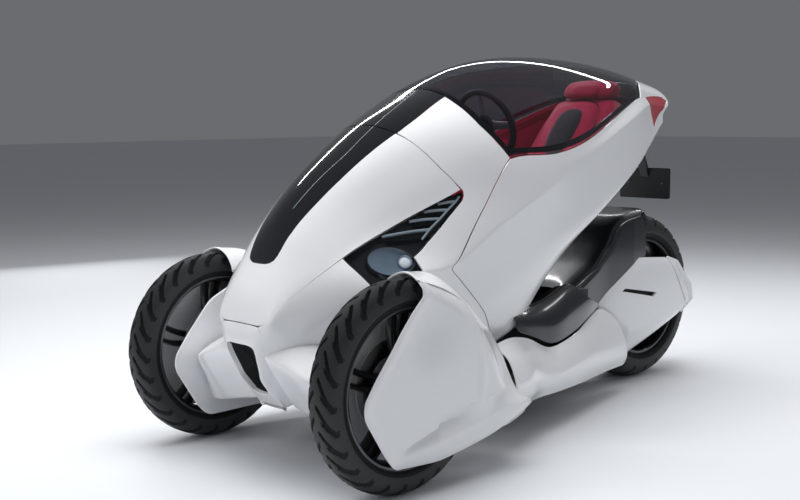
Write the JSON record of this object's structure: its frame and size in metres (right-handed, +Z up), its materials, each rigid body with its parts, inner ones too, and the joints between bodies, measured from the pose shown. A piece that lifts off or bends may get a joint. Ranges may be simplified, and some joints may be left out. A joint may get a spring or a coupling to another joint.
{
  "type": "three-wheeled electric concept car",
  "caption": "Single-seat electric three-wheeler: white pod body, tinted lift-up canopy, shrouded front wheels, one wide rear wheel and a front luggage lid.",
  "frame": {"origin": "centre of the footprint on the ground, on the symmetry plane", "axes": "+Z up, the nose points to -Y, the left side of the vehicle is +X"},
  "size_m": [1.06, 2.305, 1.2396],
  "materials": {
    "white": "pearl white gloss paint",
    "black_gloss": "piano black",
    "black_plastic": "moulded black",
    "dark_metallic": "dark metallic paint",
    "tinted_glass": "smoked tint",
    "clear_lens": "clear lens",
    "lamp_dark": "smoked reflector",
    "red_lens": "red lamp lens",
    "alloy": "cast alloy",
    "rim_black": "black painted alloy",
    "tyre": "rubber",
    "red_trim": "magenta red trim"
  },
  "bodies": {
    "chassis": {"nose_panel": "white", "intake_grille": "black_plastic", "cowl_stripe": "black_gloss", "cowl_left": "white", "cowl_right": "white", "side_panel_left": "white", "side_panel_right": "white", "belly_pan": "black_plastic", "tail_cap": "white", "tail_lamps": "red_lens", "headlamp_lenses": "clear_lens", "headlamp_housings": "lamp_dark", "arm_fairings": "white", "front_spat_left": "white", "front_spat_right": "white", "front_arms": "alloy", "front_subframe": "alloy", "chassis_frame": "alloy", "battery_pack": "alloy", "side_skirts": "white", "mid_covers": "dark_metallic", "swingarm": "alloy", "rear_hugger": "dark_metallic", "rear_fairings": "white", "plate_board": "black_plastic", "cabin_tub": "black_plastic", "side_trims": "red_trim", "seat_base": "red_trim", "seat_back": "red_trim", "headrest": "red_trim", "dashboard": "black_plastic", "steering_column": "black_plastic"},
    "boot_lid": {"boot_lid": "white", "lid_stripe": "black_gloss"},
    "canopy": {"canopy_glass": "tinted_glass", "canopy_frame": "black_gloss"},
    "steer_left": {"front_knuckle_left": "alloy"},
    "steer_right": {"front_knuckle_right": "alloy"},
    "wheel_front_left": {"front_tyre_left": "tyre", "front_rim_left": "rim_black"},
    "wheel_front_right": {"front_tyre_right": "tyre", "front_rim_right": "rim_black"},
    "wheel_rear": {"rear_tyre": "tyre", "rear_rim": "rim_black"},
    "steering_wheel": {"steering_wheel": "black_plastic"}
  },
  "joints": [
    {"name": "boot_lid_hinge", "type": "hinge", "parent": "chassis", "child": "boot_lid", "pos_m": [0, -1.0645, 0.44], "axis": [1, 0, 0], "range_deg": [0, 55]},
    {"name": "canopy_hinge", "type": "hinge", "parent": "chassis", "child": "canopy", "pos_m": [0, -0.3905, 1.103], "axis": [1, 0, 0], "range_deg": [0, 65]},
    {"name": "steer_front_left", "type": "hinge", "parent": "chassis", "child": "steer_left", "pos_m": [0.443, -0.8525, 0.3], "axis": [0, 0, 1], "range_deg": [-7, 7]},
    {"name": "steer_front_right", "type": "hinge", "parent": "chassis", "child": "steer_right", "pos_m": [-0.443, -0.8525, 0.3], "axis": [0, 0, 1], "range_deg": [-7, 7]},
    {"name": "spin_front_left", "type": "hinge", "parent": "steer_left", "child": "wheel_front_left", "pos_m": [0.443, -0.8525, 0.3], "axis": [1, 0, 0], "continuous": true},
    {"name": "spin_front_right", "type": "hinge", "parent": "steer_right", "child": "wheel_front_right", "pos_m": [-0.443, -0.8525, 0.3], "axis": [1, 0, 0], "continuous": true},
    {"name": "spin_rear", "type": "hinge", "parent": "chassis", "child": "wheel_rear", "pos_m": [0, 0.8295, 0.323], "axis": [1, 0, 0], "continuous": true},
    {"name": "steering_wheel_turn", "type": "hinge", "parent": "chassis", "child": "steering_wheel", "pos_m": [0, -0.0125, 1], "axis": [0, 0.9371, 0.3489], "range_deg": [-56, 56]}
  ],
  "couplings": [
    {"joint": "steer_front_right", "follows": "steer_front_left", "ratio": 1},
    {"joint": "steering_wheel_turn", "follows": "steer_front_left", "ratio": 8}
  ]
}
